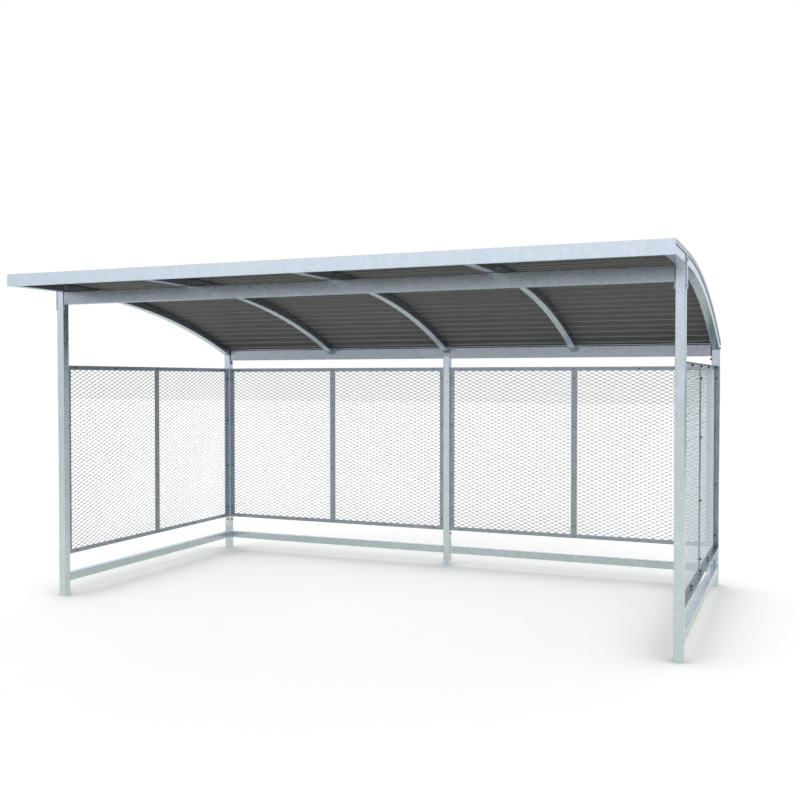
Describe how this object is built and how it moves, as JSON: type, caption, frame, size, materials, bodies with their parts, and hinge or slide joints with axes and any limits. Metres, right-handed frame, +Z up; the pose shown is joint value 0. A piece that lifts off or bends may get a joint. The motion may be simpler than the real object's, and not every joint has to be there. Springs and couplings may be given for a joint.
{
  "type": "bike shelter",
  "caption": "Open-fronted bike shelter: a galvanised square-tube frame with bent arches, a curved ribbed sheet roof, and expanded-mesh panels on the sides and back.",
  "frame": {"origin": "on the ground, under the middle of the whole shelter's width and depth", "axes": "+X along the width, to the right seen from the open front; +Y towards the back; +Z up"},
  "size_m": [4.693, 2.885, 2.4285],
  "materials": {
    "galvanised_tube": "hot-dip galvanised, matt, softly clouded",
    "galvanised_plate": "hot-dip galvanised, matt",
    "galvanised_angle": "hot-dip galvanised, matt",
    "expanded_mesh": "hot-dip galvanised, matt",
    "coated_sheet": "dark grey polyester coating, satin",
    "galvanised_trim": "galvanised sheet with a large soft spangle"
  },
  "bodies": {
    "root": {"post_front_left": "galvanised_tube", "post_front_right": "galvanised_tube", "post_back_left": "galvanised_tube", "post_back_middle": "galvanised_tube", "post_back_right": "galvanised_tube", "arch_left_end": "galvanised_tube", "arch_left_inner": "galvanised_tube", "arch_middle": "galvanised_tube", "arch_right_inner": "galvanised_tube", "arch_right_end": "galvanised_tube", "front_beam": "galvanised_tube", "rear_beam": "galvanised_tube", "low_rail_left": "galvanised_tube", "low_rail_right": "galvanised_tube", "low_rail_back_left": "galvanised_tube", "low_rail_back_right": "galvanised_tube", "fish_plates": "galvanised_plate", "arch_cleats": "galvanised_plate", "panel_frame_left": "galvanised_angle", "centre_bar_left": "galvanised_angle", "clamp_bars_left": "galvanised_angle", "mesh_left": "expanded_mesh", "panel_frame_right": "galvanised_angle", "centre_bar_right": "galvanised_angle", "clamp_bars_right": "galvanised_angle", "mesh_right": "expanded_mesh", "panel_frame_back_left": "galvanised_angle", "centre_bar_back_left": "galvanised_angle", "clamp_bars_back_left": "galvanised_angle", "mesh_back_left": "expanded_mesh", "panel_frame_back_right": "galvanised_angle", "centre_bar_back_right": "galvanised_angle", "clamp_bars_back_right": "galvanised_angle", "mesh_back_right": "expanded_mesh", "roof_sheet_front": "coated_sheet", "roof_sheet_middle": "coated_sheet", "roof_sheet_rear": "coated_sheet", "fascia_left": "galvanised_trim", "fascia_right": "galvanised_trim", "verge_trim_left": "galvanised_trim", "verge_trim_right": "galvanised_trim", "rear_trim": "galvanised_trim"}
  },
  "joints": []
}
